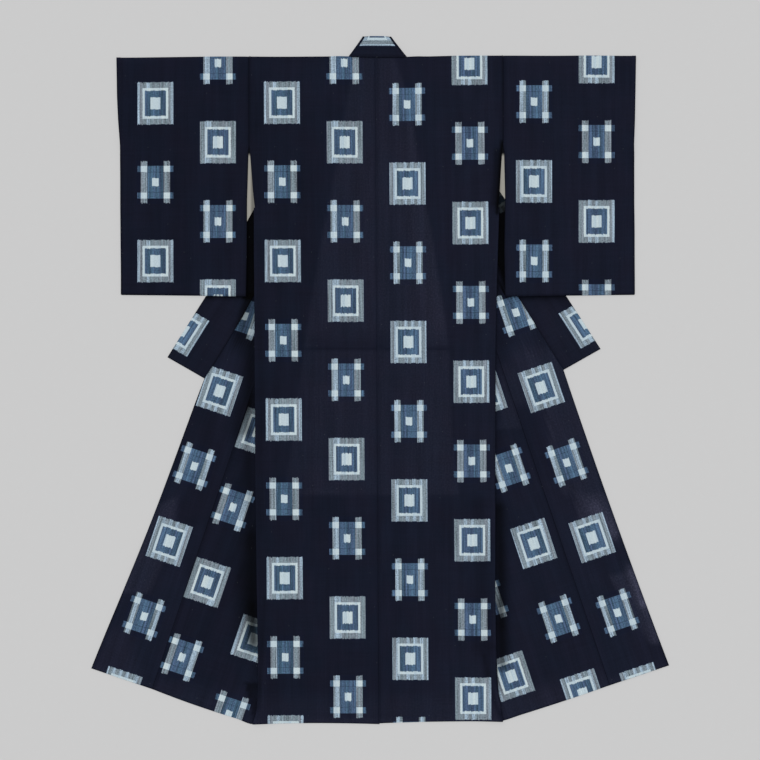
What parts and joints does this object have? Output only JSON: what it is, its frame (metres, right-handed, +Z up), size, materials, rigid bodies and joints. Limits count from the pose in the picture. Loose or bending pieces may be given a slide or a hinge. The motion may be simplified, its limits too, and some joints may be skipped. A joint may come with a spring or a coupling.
{
  "type": "kimono",
  "caption": "Kimono laid flat with its back up, square sleeves spread and both fronts opened out to the sides.",
  "frame": {"origin": "centre of the laid-out kimono's outline, on the surface that it lies on", "axes": "+Y from the hem towards the collar, +Z up out of the back, +X to the right of someone who looks down at it"},
  "size_m": [1.3824, 1.6514, 0.009],
  "materials": {
    "body_cotton": "matt navy cotton with pale resist-dyed figures",
    "sleeve_cotton": "matt navy cotton with pale resist-dyed figures",
    "okumi_cotton": "matt navy cotton with pale resist-dyed figures",
    "collar_cotton": "matt navy cotton with pale resist-dyed figures"
  },
  "bodies": {
    "root": {"body_left": "body_cotton", "body_right": "body_cotton", "sleeve_left": "sleeve_cotton", "sleeve_right": "sleeve_cotton", "okumi_left": "okumi_cotton", "okumi_right": "okumi_cotton", "collar": "collar_cotton"}
  },
  "joints": []
}
